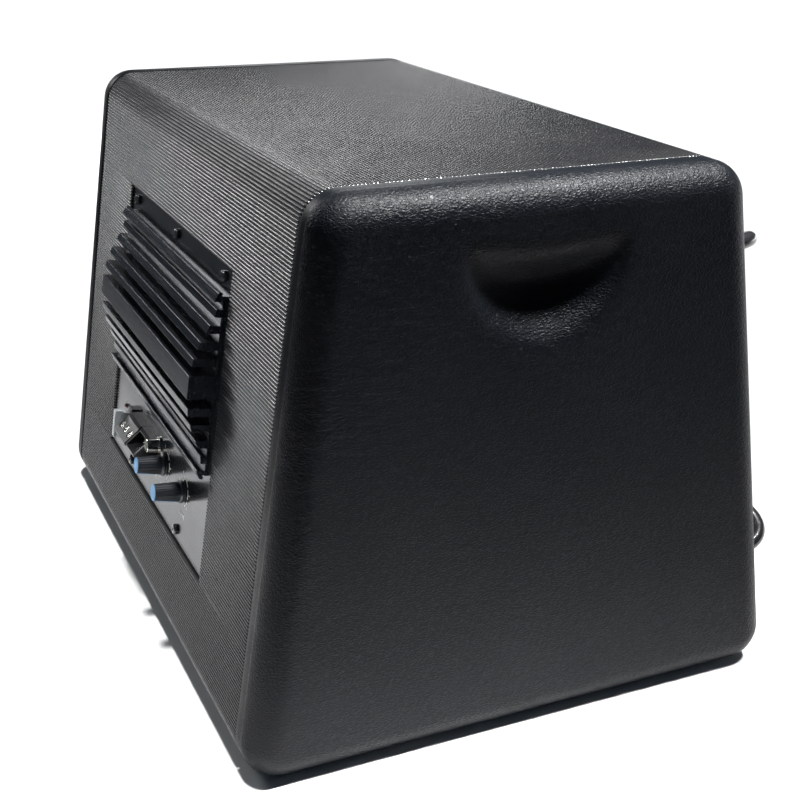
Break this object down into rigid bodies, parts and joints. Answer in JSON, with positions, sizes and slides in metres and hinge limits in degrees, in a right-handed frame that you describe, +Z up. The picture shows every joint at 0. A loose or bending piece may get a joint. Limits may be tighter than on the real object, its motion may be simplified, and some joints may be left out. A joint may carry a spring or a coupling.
{
  "type": "powered car subwoofer",
  "caption": "Wedge-shaped vinyl-wrapped speaker cabinet with moulded end caps, a front woofer behind bowed guard bars and a finned amplifier sunk in its rear face.",
  "frame": {"origin": "middle of the underside, on the surface that the cabinet stands on", "axes": "+X along the cabinet, -Y out of the woofer face, +Y out of the amplifier face, +Z up"},
  "size_m": [0.45, 0.3641, 0.315],
  "materials": {
    "mdf": "raw fibreboard",
    "vinyl": "ribbed textured vinyl, semi-gloss ridges",
    "cap_plastic": "moulded leather grain, satin",
    "plate_paint": "fine matte powder coat",
    "anodised": "black anodised, satin",
    "black_screw": "black oxide, glossy",
    "steel": "zinc plated",
    "nickel": "nickel plated",
    "copper": "enamelled copper",
    "black_plastic": "moulded, satin",
    "knob_plastic": "moulded, satin",
    "knob_blue": "moulded, satin",
    "phono_white": "moulded",
    "fuse_clear": "clear moulded plastic",
    "led_lens": "tinted epoxy",
    "foam": "closed-cell foam",
    "rubber": "satin rubber",
    "paper": "coated paper pulp",
    "dust_gloss": "satin gloss",
    "basket_paint": "black paint",
    "spider_cloth": "phenolic-dipped cotton",
    "ferrite": "dull sintered",
    "bar_gloss": "gloss black powder coat",
    "pcb": "solder mask",
    "electronics": "sleeved cans and moulded packages"
  },
  "bodies": {
    "cabinet": {"amp_gasket": "foam", "amp_plate": "plate_paint", "amp_plate_screws": "black_screw", "back_plate": "steel", "blade_fuse": "fuse_clear", "board_standoffs": "steel", "bottom_panel": "mdf", "circuit_board": "pcb", "control_nuts": "nickel", "corner_battens": "mdf", "crossover_control": "black_plastic", "end_cap_left": "cap_plastic", "end_cap_right": "cap_plastic", "end_cap_screws": "steel", "end_panel_left": "mdf", "end_panel_right": "mdf", "filter_capacitors": "electronics", "front_baffle": "mdf", "fuse_blades": "nickel", "fuse_holder": "black_plastic", "gain_control": "black_plastic", "guard_bar_collars": "rubber", "guard_bar_lower": "bar_gloss", "guard_bar_studs": "steel", "guard_bar_upper": "bar_gloss", "heat_sink": "anodised", "heat_sink_screws": "steel", "input_socket": "black_plastic", "magnet": "ferrite", "power_transistors": "electronics", "rca_contacts": "nickel", "rca_insulators": "phono_white", "rca_shells": "nickel", "rear_baffle": "mdf", "socket_pins": "nickel", "speaker_lugs": "nickel", "spider": "spider_cloth", "status_led": "led_lens", "terminal_block": "black_plastic", "terminal_screws": "nickel", "top_panel": "mdf", "top_plate": "steel", "toroid_transformer": "copper", "transistor_clamp": "steel", "vinyl_wrap": "vinyl", "woofer_basket": "basket_paint", "woofer_screws": "black_screw", "woofer_surround": "rubber", "woofer_trim_ring": "rubber"},
    "gain_knob": {"gain_knob": "knob_plastic", "gain_knob_cap": "knob_blue", "gain_shaft": "steel"},
    "crossover_knob": {"crossover_knob": "knob_plastic", "crossover_knob_cap": "knob_blue", "crossover_shaft": "steel"},
    "cone": {"woofer_cone": "paper", "dust_cap": "dust_gloss", "coil_former": "copper", "voice_coil": "copper"}
  },
  "joints": [
    {"name": "gain_turn", "type": "hinge", "parent": "cabinet", "child": "gain_knob", "pos_m": [-0.021, 0.16389, 0.10471], "axis": [0, 0.9895, 0.1445], "range_deg": [0, 300]},
    {"name": "crossover_turn", "type": "hinge", "parent": "cabinet", "child": "crossover_knob", "pos_m": [-0.063, 0.16389, 0.10471], "axis": [0, 0.9895, 0.1445], "range_deg": [0, 300]},
    {"name": "cone_travel", "type": "slide", "parent": "cabinet", "child": "cone", "axis": [0, -0.9851, 0.172], "range_m": [-0.008, 0.008], "stiffness_N_per_m": 2200, "deforming": ["woofer_surround", "spider"]}
  ]
}
